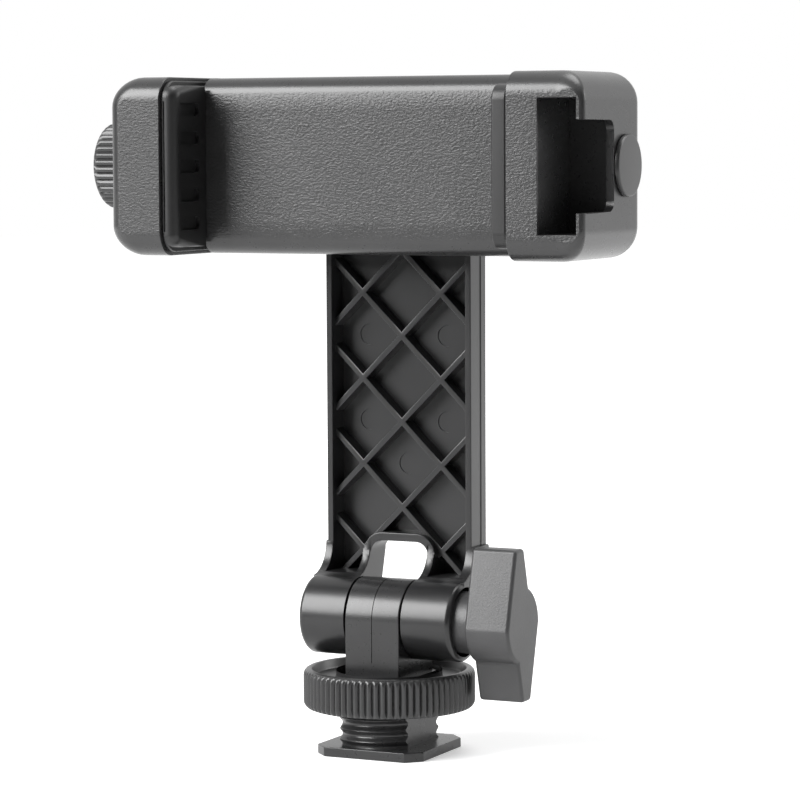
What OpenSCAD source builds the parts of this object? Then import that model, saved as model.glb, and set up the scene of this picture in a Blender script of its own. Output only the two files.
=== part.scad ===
// A tilting phone clamp on a ribbed arm, with a shoe foot that locks under a knurled wheel.
// Origin: centre of the foot's underside. +Z up, the jaws open towards -Y, the tilt axis runs along X.

/* [Shoe foot] */
// Width of the square foot plate
foot_w = 18.2; // [17:0.1:18.6]
// Thickness of the foot plate
foot_t = 1.5; // [1.2:0.1:2]
// Cut across each corner of the foot plate
foot_clip = 2.2; // [1:0.1:3]
// Outside diameter of the threaded stem
stem_d = 16.5; // [16:0.1:17]
// Width across the two flats of the stem
stem_flat_w = 11.3; // [10:0.1:12.4]
// Height of the top of the stem's thread
stem_top = 13; // [12.4:0.1:13.6]
// Pitch of the stem's thread
stem_pitch = 1.7; // [1.4:0.05:2]
// Depth of the stem's thread
stem_thread = 0.6; // [0.3:0.05:0.8]
// Height of the plain neck under the stem's first ridge
stem_neck = 0.3; // [0.1:0.05:0.6]
// Width of the hinge tongue
tongue_w = 9.2; // [7:0.1:9.4]

/* [Lock wheel] */
// Diameter over the wheel's ribs
wheel_d = 26.8; // [24:0.1:30]
// Thickness of the wheel
wheel_t = 6.1; // [5:0.1:6.4]
// Height of the wheel's underside at rest
wheel_z = 7; // [6.6:0.1:7.2]
// Number of grip ribs round the wheel
wheel_ribs = 76; // [40:1:90]
// Height of each grip rib
wheel_rib_h = 0.45; // [0.2:0.05:0.7]
// Bevel on the wheel's rims
wheel_bevel = 0.7; // [0.3:0.05:1]
// Thickness of the keyed washer under the wheel
key_washer_t = 1.1; // [0.8:0.1:1.5]
// Diameter of the keyed washer
key_washer_d = 22; // [20:0.1:23]

/* [Tilt hinge] */
// Height of the tilt axis
hinge_z = 20.9; // [20.8:0.1:24]
// Radius of the knuckles
knuckle_r = 6.2; // [5.8:0.1:6.4]
// Outer end of the left knuckle, from the middle
left_knuckle = 12.8; // [11:0.1:13.2]
// Outer end of the right knuckle, from the middle
right_knuckle = 13.1; // [12:0.1:14]
// Diameter of the tilt bolt
bolt_d = 5; // [4:0.1:5]
// Width across the flats of the tilt bolt's head
bolt_head_w = 8; // [7:0.1:8.4]
// Height of the tilt bolt's head
bolt_head_h = 3.4; // [2:0.1:4]
// Depth of the recess in the right knuckle
knuckle_recess = 2; // [1:0.1:3]
// Diameter of the recess in the right knuckle
knuckle_recess_d = 10.8; // [10:0.1:11]
// Thickness of the washer in that recess
tilt_washer_t = 0.8; // [0.5:0.1:1]

/* [Tilt knob] */
// Diameter of the knob's collar
collar_d = 9.6; // [9:0.1:10]
// Gap between the right knuckle and the knob
knob_gap = 2.4; // [1:0.1:4]
// Thickness of the knob along its axis
knob_t = 7.4; // [6.5:0.1:10]
// Diameter of the knob's hub
knob_hub_d = 12; // [9:0.1:12]
// Distance from the axis to a wing tip
wing_l = 11.9; // [9:0.1:12.3]
// Width of a wing tip
wing_tip_w = 3.1; // [1.5:0.1:4]
// Lean of a wing's long face from root to tip
wing_lean = 3.2; // [0:0.1:3.2]
// Diameter of the threaded insert in the knob
insert_d = 7; // [6.6:0.1:8]
// Length of the threaded insert in the knob
insert_l = 6; // [4:0.1:7]
// Angle round the hub where a wing's slanted back meets it
wing_back_angle = 20; // [10:1:30]

/* [Arm] */
// Width of the arm
arm_w = 25.2; // [24:0.1:30]
// Depth of the arm
arm_t = 5.4; // [5:0.1:7]
// Distance from the tilt axis back to the arm's front
arm_y = 3.64; // [3.5:0.02:5]
// Thickness of the arm's side walls
arm_wall = 1.15; // [0.9:0.05:1.6]
// Thickness of the arm's floor
arm_floor = 1.5; // [1:0.1:2]
// Step of the lattice, from one crossing to the next
lattice_step = 6.73; // [6:0.01:8]
// Height of the lattice's first crossing
lattice_top = 78; // [76:0.1:80]
// Thickness of a lattice rib
rib_t = 0.9; // [0.8:0.05:1.4]
// Setback of the ribs behind the side walls
rib_setback = 1.3; // [0.5:0.1:1.8]
// Diameter of the round ejector marks
mark_d = 3.3; // [2:0.1:4]
// Depth of the ejector marks
mark_t = 0.15; // [0.1:0.05:0.4]
// Height of the window over the tongue
window_top = 32.4; // [32:0.1:35]
// Corner radius of the window
window_r = 2; // [1:0.1:3]
// Thickness of the window's rim
window_rim = 1.3; // [1:0.1:1.6]
// Radius of the hollow between the arm's front and the knuckles
arm_fillet = 5; // [3:0.1:6]
// Height above the tilt axis where the arm's back starts to curve in
arm_heel = 9.5; // [9:0.1:12]

/* [Swivel] */
// Height of the swivel axis
swivel_z = 91.15; // [90:0.05:96]
// Diameter of the swivel screw
swivel_d = 4; // [3:0.1:4]
// Diameter of the swivel screw's head
swivel_head_d = 7.2; // [6:0.1:8]
// Height of the swivel screw's head
swivel_head_h = 2.4; // [1.5:0.1:2.4]
// Width of the socket in the swivel screw's head
swivel_socket_w = 2.5; // [2:0.5:3]
// Thickness of the spring washer under the head
spring_t = 0.6; // [0.4:0.1:0.8]
// Diameter of the friction washer between clamp and arm
friction_d = 15.6; // [12:0.1:17]
// Thickness of the friction washer
friction_t = 0.8; // [0.5:0.1:1.2]
// Width across the flats of the swivel nut
swivel_nut_w = 7; // [6.5:0.1:7.6]
// Thickness of the swivel nut
swivel_nut_t = 2.2; // [1.8:0.1:2.3]

/* [Clamp] */
// Gap between the clamp's back and the arm
clamp_gap = 0.24; // [0.2:0.02:0.6]
// Depth of the jaws, front to back
jaw_depth = 24; // [23:0.1:28]
// Depth of a phone between the jaws' front and the body
phone_depth = 10.5; // [9:0.1:10.8]
// Position of the left jaw's inner face, from the middle
left_inner = 28.5; // [27:0.1:34]
// Thickness of the left jaw
left_jaw_w = 9.1; // [8:0.1:12]
// Height of the left jaw
jaw_h = 27.3; // [27:0.1:30]
// Position of the right jaw's inner face, from the middle
right_inner = 29; // [27:0.1:34]
// Thickness of the right jaw
right_jaw_w = 12.3; // [12.2:0.1:14]
// Extra height of the right jaw over the left one
right_extra = 0.4; // [0:0.05:0.6]
// Step of the left jaw above and below the body
jaw_step = 0.1; // [0.05:0.05:1]
// Wall thickness of the body
body_wall = 1.8; // [1.6:0.05:1.9]
// Rounding of the body's long front edges
body_front_r = 4.3; // [2:0.1:4.4]
// Rounding of the body's long back edges
body_back_r = 2.8; // [2:0.1:3]
// Rounding of the jaws' outer corners
jaw_r = 3.7; // [2:0.1:3.8]
// Rounding of the jaws' end corners, seen from the front
jaw_corner_r = 4.6; // [3:0.1:5]
// Rounding of the left jaw's front edge
jaw_edge_r = 2.2; // [1:0.1:3]
// Rounding of the right jaw's front edge
lip_r = 0.8; // [0.3:0.1:1]
// Gap between the left pad's flange and the body, as the clamp is shown
rest_gap = 1; // [0.1:0.1:2]
// Opening travel of the left jaw
jaw_travel = 30; // [10:1:32]

/* [Accessory slot] */
// Width of the slot's T-shaped cavity
slot_w = 19.7; // [18.8:0.1:20]
// Width of the slot's mouth between its lips
slot_mouth = 13.4; // [12.6:0.1:14]
// Thickness of the slot's lips
slot_lip = 1.25; // [1:0.05:1.4]
// Height of the slot's cavity behind its lips
slot_h = 5.95; // [5.5:0.05:6]
// Depth of the slot from the jaw's front
slot_depth = 12.2; // [11:0.1:12.4]
// Distance that the mouth stops short of the cavity's depth
mouth_short = 0.5; // [0:0.1:1]
// Rounding of the mouth's inner corners
slot_r = 1.6; // [0.5:0.1:3]

/* [Pads] */
// Thickness of a pad
pad_t = 2.4; // [2:0.1:3]
// Thickness of the left pad's flange
flange_t = 0.8; // [0.5:0.1:1]
// Depth of the left pad's flange
flange_depth = 16.2; // [15:0.1:18]
// Margin of the pads inside the jaws' outline
pad_margin = 0.6; // [0.4:0.1:1.5]
// Setback of the pads' blocks behind the jaws' front
pad_setback = 0.6; // [0.6:0.1:3]
// Margin of the pads' blocks above and below
block_margin = 1.3; // [1:0.1:3]
// Rounding of the left block's front edge
block_edge_r = 1.6; // [0.5:0.1:1.8]
// Rounding of the left block's corners
block_r = 2; // [0.5:0.1:3]
// Number of grip pockets in a pad
pockets = 5; // [1:1:5]
// Distance between grip pockets
pocket_pitch = 4.35; // [4:0.05:4.6]
// Height of a grip pocket
pocket_h = 2; // [1:0.1:2.6]
// Depth of a grip pocket along the jaw
pocket_l = 5.6; // [3:0.1:6]
// Depth of a grip pocket into the rubber
pocket_t = 0.6; // [0.4:0.1:1.4]
// Rounding of a grip pocket's back corners
pocket_r = 0.8; // [0.2:0.1:0.9]

/* [Clamp screw] */
// Diameter of the clamp screw
screw_d = 4; // [3:0.1:4]
// Distance of the screw's axis behind the jaws' front
screw_back = 16.3; // [15.9:0.1:16.3]
// Length of screw past the nut when the jaw is fully open
screw_spare = 8; // [4:0.1:10]
// Diameter of the screw's knob
screw_knob_d = 13.6; // [10:0.1:16]
// Thickness of the screw's knob
screw_knob_t = 8.2; // [4:0.1:9]
// Number of ribs round the screw's knob
screw_knob_ribs = 36; // [20:1:48]
// Height of the ribs on the screw's knob
screw_knob_rib_h = 0.4; // [0.2:0.05:0.6]
// Bevel on the rims of the screw's knob
screw_knob_bevel = 0.5; // [0.3:0.1:1]
// Thickness of the face of the screw's knob, over the screw's end
screw_knob_face = 1.5; // [1:0.1:3]
// Gap between the left jaw and the screw's knob
knob_seat = 0.3; // [0.2:0.05:0.6]
// Width and height of the square nut
nut_w = 7; // [6.5:0.1:7]
// Thickness of the square nut
nut_t = 3.2; // [2.5:0.1:4]
// Distance of the nut left of the swivel axis
nut_x = 8; // [8:0.1:12]
// Diameter of the retaining clip
clip_d = 8; // [6:0.1:9]
// Thickness of the retaining clip
clip_t = 0.8; // [0.5:0.1:1]
// Width of the retaining clip's mouth
clip_mouth = 2.8; // [2:0.1:3]
// Depth of the clip's groove in the screw
clip_groove = 0.4; // [0.2:0.05:0.6]
// Diameter of the plug on the right jaw's end
plug_d = 9.3; // [8:0.1:10]
// Height of the plug's head
plug_t = 0.8; // [0.5:0.1:1.5]

/* [Inside the clamp] */
// Thickness of the back cover
cover_t = 2; // [1.6:0.1:2.2]
// Thickness of a guide rail
rail_t = 2.3; // [1.8:0.1:2.3]
// Length of rail left in the body when the jaw is fully open
rail_hold = 24; // [15:0.1:25]
// Wall left round the hollow of the left jaw
core_wall = 2.2; // [1.6:0.1:2.4]
// Distance of the cover screws from the swivel axis
cover_screw_x = 19; // [17:0.1:20]
// Diameter of the cover screws
cover_screw_d = 1.9; // [1.5:0.1:2]
// Diameter of the cover screws' heads
cover_head_d = 3.8; // [3:0.1:4]
// Diameter of the cover screws' posts
post_d = 4.8; // [4:0.1:4.8]

/* [Fits] */
// Clearance between parts that slide past each other
slide_gap = 0.15; // [0.1:0.01:0.25]
// Radial clearance of shafts and screws in their holes
shaft_gap = 0.05; // [0.02:0.01:0.09]
// Clearance of screws in plain holes
free_gap = 0.4; // [0.2:0.05:0.6]
// Depth that the screw heads lie below the faces round them
head_sink = 0.2; // [0.1:0.05:0.4]
// Gap on each side of the tongue
tongue_gap = 0.3; // [0.2:0.02:0.4]
// Clearance of seated parts in their pockets
seat_gap = 0.05; // [0.02:0.01:0.1]

/* [Hidden] */
$fn = 64;
over = 1;
plastic = [0.15, 0.15, 0.16];
smooth_plastic = [0.11, 0.11, 0.12];
rubber = [0.08, 0.08, 0.085];
steel = [0.62, 0.63, 0.65];
brass = [0.78, 0.63, 0.33];
nylon = [0.3, 0.3, 0.31];

// Heights and depths that several pieces share
wheel_top = wheel_z + wheel_t;
arm_back = arm_y + arm_t;
clamp_back = arm_y - clamp_gap;
jaw_front = clamp_back - jaw_depth;
body_front = jaw_front + phone_depth;
body_in_front = body_front + body_wall;
cover_in = clamp_back - cover_t;
screw_y = jaw_front + screw_back;
left_lo = swivel_z - jaw_h / 2;
left_hi = swivel_z + jaw_h / 2;
right_lo = left_lo - right_extra / 2;
right_hi = left_hi + right_extra / 2;
body_lo = left_lo + jaw_step;
body_hi = left_hi - jaw_step;
hollow_lo = body_lo + body_wall;
hollow_hi = body_hi - body_wall;
left_end = -left_inner - left_jaw_w;
right_end = right_inner + right_jaw_w;
body_left = -left_inner + flange_t + rest_gap;
flange_back = jaw_front + pad_margin + flange_depth;

// Hinge sizes
slot_x = tongue_w / 2 + tongue_gap;
knob_x = right_knuckle + knob_gap;
knob_end = knob_x + knob_t;
recess_x = right_knuckle - knuckle_recess;
collar_x = recess_x + tilt_washer_t + seat_gap;
insert_end = knob_x + insert_l;
bolt_gap_r = bolt_d / 2 + shaft_gap;
head_x = -left_knuckle + bolt_head_h + head_sink;
rim_x = slot_x + window_rim;
rim_top = window_top + window_rim;
// Bevel on the knuckles' outer rims
knuckle_chamfer = 0.8;

// Arm sizes
floor_y = arm_back - arm_floor;
rib_y = arm_y + rib_setback;
heel_z = hinge_z + arm_heel;
fillet_y = arm_y - arm_fillet;
fillet_z = hinge_z + sqrt(pow(knuckle_r + arm_fillet, 2) - pow(fillet_y, 2));
// Lift of the lattice's foot over the knuckles
lattice_lift = 0.4;
pocket_floor_z = hinge_z + knuckle_r + lattice_lift;
// Wall round the friction washer's seat, and room round the swivel screw's head
pivot_wall = 1.4;
head_room = 0.9;
pivot_r = friction_d / 2 + pivot_wall;
head_recess_r = swivel_head_d / 2 + head_room;
spring_y = arm_back - swivel_head_h - spring_t - head_sink;
lattice_rows = 5;
// Places of the ejector marks in steps of the lattice: across, then down
marks = [[-1, 2], [1, 2], [-1, 4], [1, 4], [0, 5]];

// Clamp screw sizes: the wall round the nut, and the plug's stem
nut_wall = 2;
plug_stem_r = 2.9;
plug_stem = 2.6;
nut_left = -nut_x - nut_t / 2;
nut_right = -nut_x + nut_t / 2;
clip_x = left_end + core_wall + 2 * slide_gap;
screw_hole_r = screw_d / 2 + free_gap;
screw_tail = nut_right + jaw_travel + screw_spare;
tail_hole_r = plug_stem_r + shaft_gap;

// Rails, the body's end wall and the hollow behind the accessory slot
end_wall = 2;
rail_room = 2;
slot_wall = 1.4;
tail_wall = 3.75;
right_hollow_h = 18;
rail_end = body_left + jaw_travel + rail_hold;
right_hollow = right_end - tail_wall;
right_hollow_front = jaw_front + slot_depth + slot_wall;

// Cover sizes
cover_margin = 0.2;
cover_inset = 3.6;
cover_lo = body_lo + body_back_r + cover_margin;
cover_hi = body_hi - body_back_r - cover_margin;
cover_left = body_left + cover_inset;
cover_right = right_end - jaw_r - cover_margin;
cover_r = 1.5;
post_z = (hollow_hi - hollow_lo) / 2 - rail_t - 2 * slide_gap - post_d / 2;
boss_wall = 1.6;
boss_r = swivel_nut_w / 2 / cos(30) + boss_wall;
boss_front = cover_in - swivel_nut_t - seat_gap;
cover_head_h = 1.1;
cover_screw_l = 7;

// A rectangle whose corners have the radii r, counted from the low corner round by the right
module rounded(x0, x1, y0, y1, r) {
    corners = [[x0, y0, 1, 1], [x1, y0, -1, 1], [x1, y1, -1, -1], [x0, y1, 1, -1]];
    difference() {
        translate([x0, y0])
            square([x1 - x0, y1 - y0]);
        for (i = [0 : 3])
            if (r[i] > 0)
                corner_waste(corners[i], r[i]);
    }
}

module corner_waste(c, r) {
    difference() {
        translate([c[0] + c[2] * (r - over) / 2, c[1] + c[3] * (r - over) / 2])
            square(r + over, center = true);
        translate([c[0] + c[2] * r, c[1] + c[3] * r])
            circle(r);
    }
}

// A flat outline drawn in Y and Z, carried along X
module along_x(x0, x1) {
    translate([x0, 0, 0])
        rotate([90, 0, 90])
            linear_extrude(x1 - x0)
                children();
}

// A flat outline drawn in X and Z, carried along Y
module along_y(y0, y1) {
    translate([0, y1, 0])
        rotate([90, 0, 0])
            linear_extrude(y1 - y0)
                children();
}

module rod_x(x0, x1, r, y, z) {
    translate([x0, y, z])
        rotate([0, 90, 0])
            cylinder(h = x1 - x0, r = r);
}

module rod_y(y0, y1, r, x, z) {
    translate([x, y1, z])
        rotate([90, 0, 0])
            cylinder(h = y1 - y0, r = r);
}

module block(x0, x1, y0, y1, z0, z1) {
    translate([x0, y0, z0])
        cube([x1 - x0, y1 - y0, z1 - z0]);
}

module hex_x(x0, x1, w, y, z) {
    translate([x0, y, z])
        rotate([0, 90, 0])
            cylinder(h = x1 - x0, r = w / 2 / cos(30), $fn = 6);
}

module hex_y(y0, y1, w, x, z) {
    translate([x, y1, z])
        rotate([90, 0, 0])
            cylinder(h = y1 - y0, r = w / 2 / cos(30), $fn = 6);
}

// A disc from z0 to z1 with grip ribs round it, bevelled by b0 at its foot and b1 at its head
module ribbed_disc(r, depth, count, z0, z1, b0, b1) {
    step = 360 / count;
    // Each rib's outline as shares of the step and of the depth
    rib = [[-0.32, 0.25], [0, 0], [0.32, 0.25], [0.5, 1]];
    intersection() {
        translate([0, 0, z0])
            linear_extrude(z1 - z0)
                polygon([
                    for (i = [0 : count - 1], p = rib)
                        let (a = step * (i + p[0]), q = r - depth * p[1])
                            [q * cos(a), q * sin(a)]
                ]);
        rotate_extrude()
            polygon([
                [0, z0], [r - b0, z0], [r + over, z0 + b0 + over],
                [r + over, z1 - b1 - over], [r - b1, z1], [0, z1]
            ]);
    }
}

// The stem's thread as a stack of ridges
module stem() {
    r = stem_d / 2;
    z0 = foot_t + stem_neck;
    turns = floor((stem_top - z0) / stem_pitch);
    difference() {
        rotate_extrude()
            polygon(concat(
                [[0, foot_t - over / 2], [r - stem_thread, foot_t - over / 2]],
                [for (i = [0 : turns - 1], k = [[0.2, 1], [0.4, 0], [0.6, 0], [0.8, 1]])
                    [r - stem_thread * k[1], z0 + stem_pitch * (i + k[0])]],
                [[r - stem_thread, stem_top], [0, stem_top]]
            ));
        for (side = [-1, 1])
            translate([side * (stem_flat_w / 2 + stem_d / 2), 0, foot_t + stem_d])
                cube([stem_d, stem_d + over, 2 * stem_d], center = true);
    }
}

module foot_plate() {
    h = foot_w / 2;
    c = h - foot_clip;
    linear_extrude(foot_t)
        polygon([[-c, -h], [c, -h], [h, -c], [h, c], [c, h], [-c, h], [-h, c], [-h, -c]]);
}

module shoe_foot() {
    color(plastic)
        difference() {
            union() {
                foot_plate();
                stem();
                block(-tongue_w / 2, tongue_w / 2, -knuckle_r, knuckle_r, stem_top - over, hinge_z);
                rod_x(-tongue_w / 2, tongue_w / 2, knuckle_r, 0, hinge_z);
            }
            rod_x(-tongue_w, tongue_w, bolt_gap_r, 0, hinge_z);
        }
}

module lock_wheel() {
    bore_r = stem_d / 2 + shaft_gap;
    color(plastic)
        difference() {
            ribbed_disc(wheel_d / 2, wheel_rib_h, wheel_ribs, wheel_z, wheel_top, wheel_bevel, wheel_bevel);
            translate([0, 0, wheel_z - over])
                cylinder(h = wheel_t + 2 * over, r = bore_r);
            translate([0, 0, wheel_z - over])
                cylinder(h = key_washer_t + seat_gap + over, r = key_washer_d / 2 + seat_gap);
        }
}

module wheel_key_washer() {
    hole_r = stem_d / 2 + shaft_gap;
    color(nylon)
        translate([0, 0, wheel_z])
            linear_extrude(key_washer_t)
                difference() {
                    circle(key_washer_d / 2);
                    intersection() {
                        circle(hole_r);
                        square([stem_flat_w + 2 * seat_gap, 2 * stem_d], center = true);
                    }
                }
}

// A knuckle turned about the tilt axis, with a chamfer at its outer end
module knuckle(inner, outer) {
    translate([0, 0, hinge_z])
        rotate([0, 90, 0])
            rotate_extrude()
                polygon([
                    [0, inner], [knuckle_r, inner], [knuckle_r, outer - sign(outer) * knuckle_chamfer],
                    [knuckle_r - knuckle_chamfer, outer], [0, outer]
                ]);
}

// Side outline of the stretch that joins the arm to a knuckle, in Y and Z
module heel_outline() {
    reach = norm([arm_back, arm_heel]);
    a = atan2(arm_heel, arm_back) - acos(knuckle_r / reach);
    difference() {
        polygon([
            [0, hinge_z], [knuckle_r * cos(a), hinge_z + knuckle_r * sin(a)], [arm_back, heel_z],
            [arm_back, fillet_z], [fillet_y, fillet_z]
        ]);
        translate([fillet_y, fillet_z])
            circle(arm_fillet);
    }
}

// Front outline of the arm, in X and Z
module arm_outline() {
    translate([-arm_w / 2, heel_z])
        square([arm_w, swivel_z - heel_z]);
    translate([0, swivel_z])
        circle(arm_w / 2);
}

// Ribs at 45 degrees both ways
module lattice() {
    pitch = 2 * lattice_step;
    intersection() {
        for (k = [-1 : lattice_rows], lean = [-45, 45])
            translate([0, lattice_top - pitch * k])
                rotate(lean)
                    square([4 * arm_w, rib_t], center = true);
        translate([-arm_w / 2, heel_z - over])
            square([arm_w, swivel_z - heel_z]);
    }
}

module arm_pocket() {
    inset = arm_w / 2 - arm_wall;
    difference() {
        union() {
            translate([-inset, pocket_floor_z])
                square([2 * inset, swivel_z - pocket_floor_z]);
            translate([0, swivel_z])
                circle(inset);
        }
        translate([0, swivel_z])
            circle(pivot_r);
        rounded(-rim_x, rim_x, 0, rim_top, [0, 0, window_r + window_rim, window_r + window_rim]);
    }
}

module arm() {
    color(plastic)
        difference() {
            union() {
                difference() {
                    union() {
                        along_y(arm_y, arm_back)
                            arm_outline();
                        along_x(-left_knuckle, -slot_x)
                            heel_outline();
                        along_x(slot_x, right_knuckle)
                            heel_outline();
                    }
                    along_y(fillet_y - knuckle_r, floor_y)
                        arm_pocket();
                }
                along_y(rib_y, floor_y + over / 2)
                    intersection() {
                        lattice();
                        arm_pocket();
                    }
                knuckle(-slot_x, -left_knuckle);
                knuckle(slot_x, right_knuckle);
            }
            along_y(-knuckle_r - over, arm_back + over)
                rounded(-slot_x, slot_x, hinge_z - 2 * knuckle_r, window_top, [0, 0, window_r, window_r]);
            rod_x(-left_knuckle - over, right_knuckle + over, bolt_gap_r, 0, hinge_z);
            rod_x(recess_x, right_knuckle + over, knuckle_recess_d / 2, 0, hinge_z);
            hex_x(-left_knuckle - over, head_x, bolt_head_w + 2 * seat_gap, 0, hinge_z);
            rod_y(0, arm_back + over, swivel_d / 2 + shaft_gap, 0, swivel_z);
            rod_y(0, arm_y + friction_t - clamp_gap + seat_gap, friction_d / 2 + seat_gap, 0, swivel_z);
            rod_y(spring_y, arm_back + over, head_recess_r, 0, swivel_z);
            for (m = marks)
                rod_y(floor_y - over, floor_y + mark_t, mark_d / 2, m[0] * lattice_step,
                    lattice_top - m[1] * lattice_step);
        }
}

module tilt_bolt() {
    color(steel) {
        hex_x(head_x - bolt_head_h, head_x, bolt_head_w, 0, hinge_z);
        rod_x(head_x - over / 2, insert_end, bolt_d / 2, 0, hinge_z);
    }
}

module tilt_washer() {
    color(steel)
        difference() {
            rod_x(recess_x, recess_x + tilt_washer_t, collar_d / 2, 0, hinge_z);
            rod_x(recess_x - over, collar_x + over, bolt_gap_r, 0, hinge_z);
        }
}

// One wing seen along the axis: a long leaning face, a narrow tip and a slanted back
module wing_outline() {
    r = knob_hub_d / 2;
    tip_front = -r + wing_lean;
    polygon([
        [0, 0], [-r, 0], [tip_front, wing_l], [tip_front + wing_tip_w, wing_l],
        [r * sin(wing_back_angle), r * cos(wing_back_angle)]
    ]);
}

module tilt_knob() {
    color(plastic)
        difference() {
            union() {
                along_x(knob_x, knob_end)
                    translate([0, hinge_z]) {
                        circle(knob_hub_d / 2);
                        wing_outline();
                        rotate(180)
                            wing_outline();
                    }
                rod_x(collar_x, knob_x + over, collar_d / 2, 0, hinge_z);
            }
            rod_x(collar_x - over, insert_end, bolt_gap_r, 0, hinge_z);
            rod_x(collar_x - over, insert_end + seat_gap, insert_d / 2 + seat_gap, 0, hinge_z);
        }
}

module tilt_knob_insert() {
    color(brass)
        difference() {
            rod_x(collar_x, insert_end, insert_d / 2, 0, hinge_z);
            rod_x(collar_x - over, insert_end + over, bolt_gap_r, 0, hinge_z);
        }
}

module swivel_screw() {
    head_y = spring_y + spring_t;
    color(steel)
        difference() {
            union() {
                rod_y(head_y, head_y + swivel_head_h, swivel_head_d / 2, 0, swivel_z);
                rod_y(boss_front, head_y + over / 2, swivel_d / 2, 0, swivel_z);
            }
            hex_y(head_y + swivel_head_h / 2, arm_back + over, swivel_socket_w, 0, swivel_z);
        }
}

module swivel_spring_washer() {
    color(steel)
        difference() {
            rod_y(spring_y, spring_y + spring_t, swivel_head_d / 2, 0, swivel_z);
            rod_y(spring_y - over, arm_back, swivel_d / 2 + shaft_gap, 0, swivel_z);
        }
}

module swivel_friction_washer() {
    color(nylon)
        difference() {
            rod_y(clamp_back, clamp_back + friction_t, friction_d / 2, 0, swivel_z);
            rod_y(clamp_back - over, arm_back, swivel_d / 2 + shaft_gap, 0, swivel_z);
        }
}

module swivel_nut() {
    color(steel)
        difference() {
            hex_y(boss_front, boss_front + swivel_nut_t, swivel_nut_w, 0, swivel_z);
            rod_y(boss_front - over, clamp_back, swivel_d / 2 + shaft_gap, 0, swivel_z);
        }
}

// The two channels that the guide rails run in
module rail_spaces(x0, x1, gap) {
    y1 = cover_in - slide_gap + gap;
    y0 = body_in_front + slide_gap - gap;
    top = hollow_hi - slide_gap;
    bottom = hollow_lo + slide_gap;
    block(x0, x1, y0, y1, top - rail_t - gap, top + gap);
    block(x0, x1, y0, y1, bottom - gap, bottom + rail_t + gap);
}

module jaw_shape(x0, x1, lo, hi, front_r, side_r, plan_r) {
    intersection() {
        along_y(jaw_front, clamp_back)
            rounded(x0, x1, lo, hi, front_r);
        along_x(x0, x1)
            rounded(jaw_front, clamp_back, lo, hi, side_r);
        translate([0, 0, lo])
            linear_extrude(hi - lo)
                rounded(x0, x1, jaw_front, clamp_back, plan_r);
    }
}

// The square nut's pocket stands on the body's front wall
module nut_holder() {
    half = nut_w / 2 + nut_wall;
    block(nut_left - nut_wall, nut_right + nut_wall, body_in_front - over / 2, screw_y + nut_w / 2,
        swivel_z - half, swivel_z + half);
}

module cover_posts() {
    for (x = [-cover_screw_x, cover_screw_x], z = [-post_z, post_z])
        rod_y(body_in_front - over / 2, cover_in, post_d / 2, x, swivel_z + z);
}

module body_shell() {
    difference() {
        along_x(body_left, right_inner + over)
            rounded(body_front, clamp_back, body_lo, body_hi,
                [body_front_r, body_back_r, body_back_r, body_front_r]);
        block(body_left + end_wall, right_inner + 2 * over, body_in_front, cover_in, hollow_lo, hollow_hi);
        rail_spaces(body_left - over, body_left + end_wall + over, slide_gap);
    }
}

module right_jaw() {
    difference() {
        jaw_shape(right_inner, right_end, right_lo, right_hi, [0, jaw_corner_r, jaw_corner_r, 0],
            [jaw_r, jaw_r, jaw_r, jaw_r], [0, lip_r, jaw_r, 0]);
        block(right_inner - over, right_inner + rail_room, body_in_front, cover_in, hollow_lo, hollow_hi);
        block(right_inner - over, right_hollow, right_hollow_front, cover_in,
            swivel_z - right_hollow_h / 2, swivel_z + right_hollow_h / 2);
        block(right_end - slot_lip - slot_h, right_end - slot_lip, jaw_front - over,
            jaw_front + slot_depth, swivel_z - slot_w / 2, swivel_z + slot_w / 2);
        along_x(right_end - slot_lip - over, right_end + over)
            rounded(jaw_front - over, jaw_front + slot_depth - mouth_short, swivel_z - slot_mouth / 2,
                swivel_z + slot_mouth / 2, [0, slot_r, slot_r, 0]);
    }
}

module clamp_body() {
    color(plastic)
        difference() {
            union() {
                body_shell();
                right_jaw();
                nut_holder();
                cover_posts();
            }
            along_y(cover_in - over / 4, clamp_back + over)
                rounded(cover_left - seat_gap, cover_right + seat_gap, cover_lo - seat_gap,
                    cover_hi + seat_gap, [cover_r, cover_r, cover_r, cover_r]);
            rod_x(body_left - over, right_hollow, screw_hole_r, screw_y, swivel_z);
            rod_x(right_hollow - over, right_end + over, tail_hole_r, screw_y, swivel_z);
            block(nut_left - seat_gap, nut_right + seat_gap, screw_y - nut_w / 2 - seat_gap, cover_in,
                swivel_z - nut_w / 2 - seat_gap, swivel_z + nut_w / 2 + seat_gap);
            for (x = [-cover_screw_x, cover_screw_x], z = [-post_z, post_z])
                rod_y(clamp_back - cover_screw_l - over / 2, clamp_back, cover_screw_d / 2 + shaft_gap,
                    x, swivel_z + z);
        }
}

module clamp_back_cover() {
    color(plastic)
        difference() {
            union() {
                along_y(cover_in, clamp_back)
                    rounded(cover_left, cover_right, cover_lo, cover_hi,
                        [cover_r, cover_r, cover_r, cover_r]);
                rod_y(boss_front, cover_in + over / 2, boss_r, 0, swivel_z);
            }
            rod_y(boss_front - over, clamp_back + over, swivel_d / 2 + shaft_gap, 0, swivel_z);
            hex_y(boss_front - over, cover_in, swivel_nut_w + 2 * seat_gap, 0, swivel_z);
            for (x = [-cover_screw_x, cover_screw_x], z = [-post_z, post_z]) {
                rod_y(cover_in - over, clamp_back + over, cover_screw_d / 2 + shaft_gap, x, swivel_z + z);
                rod_y(clamp_back - cover_head_h, clamp_back + over, cover_head_d / 2 + seat_gap, x,
                    swivel_z + z);
            }
        }
}

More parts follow.
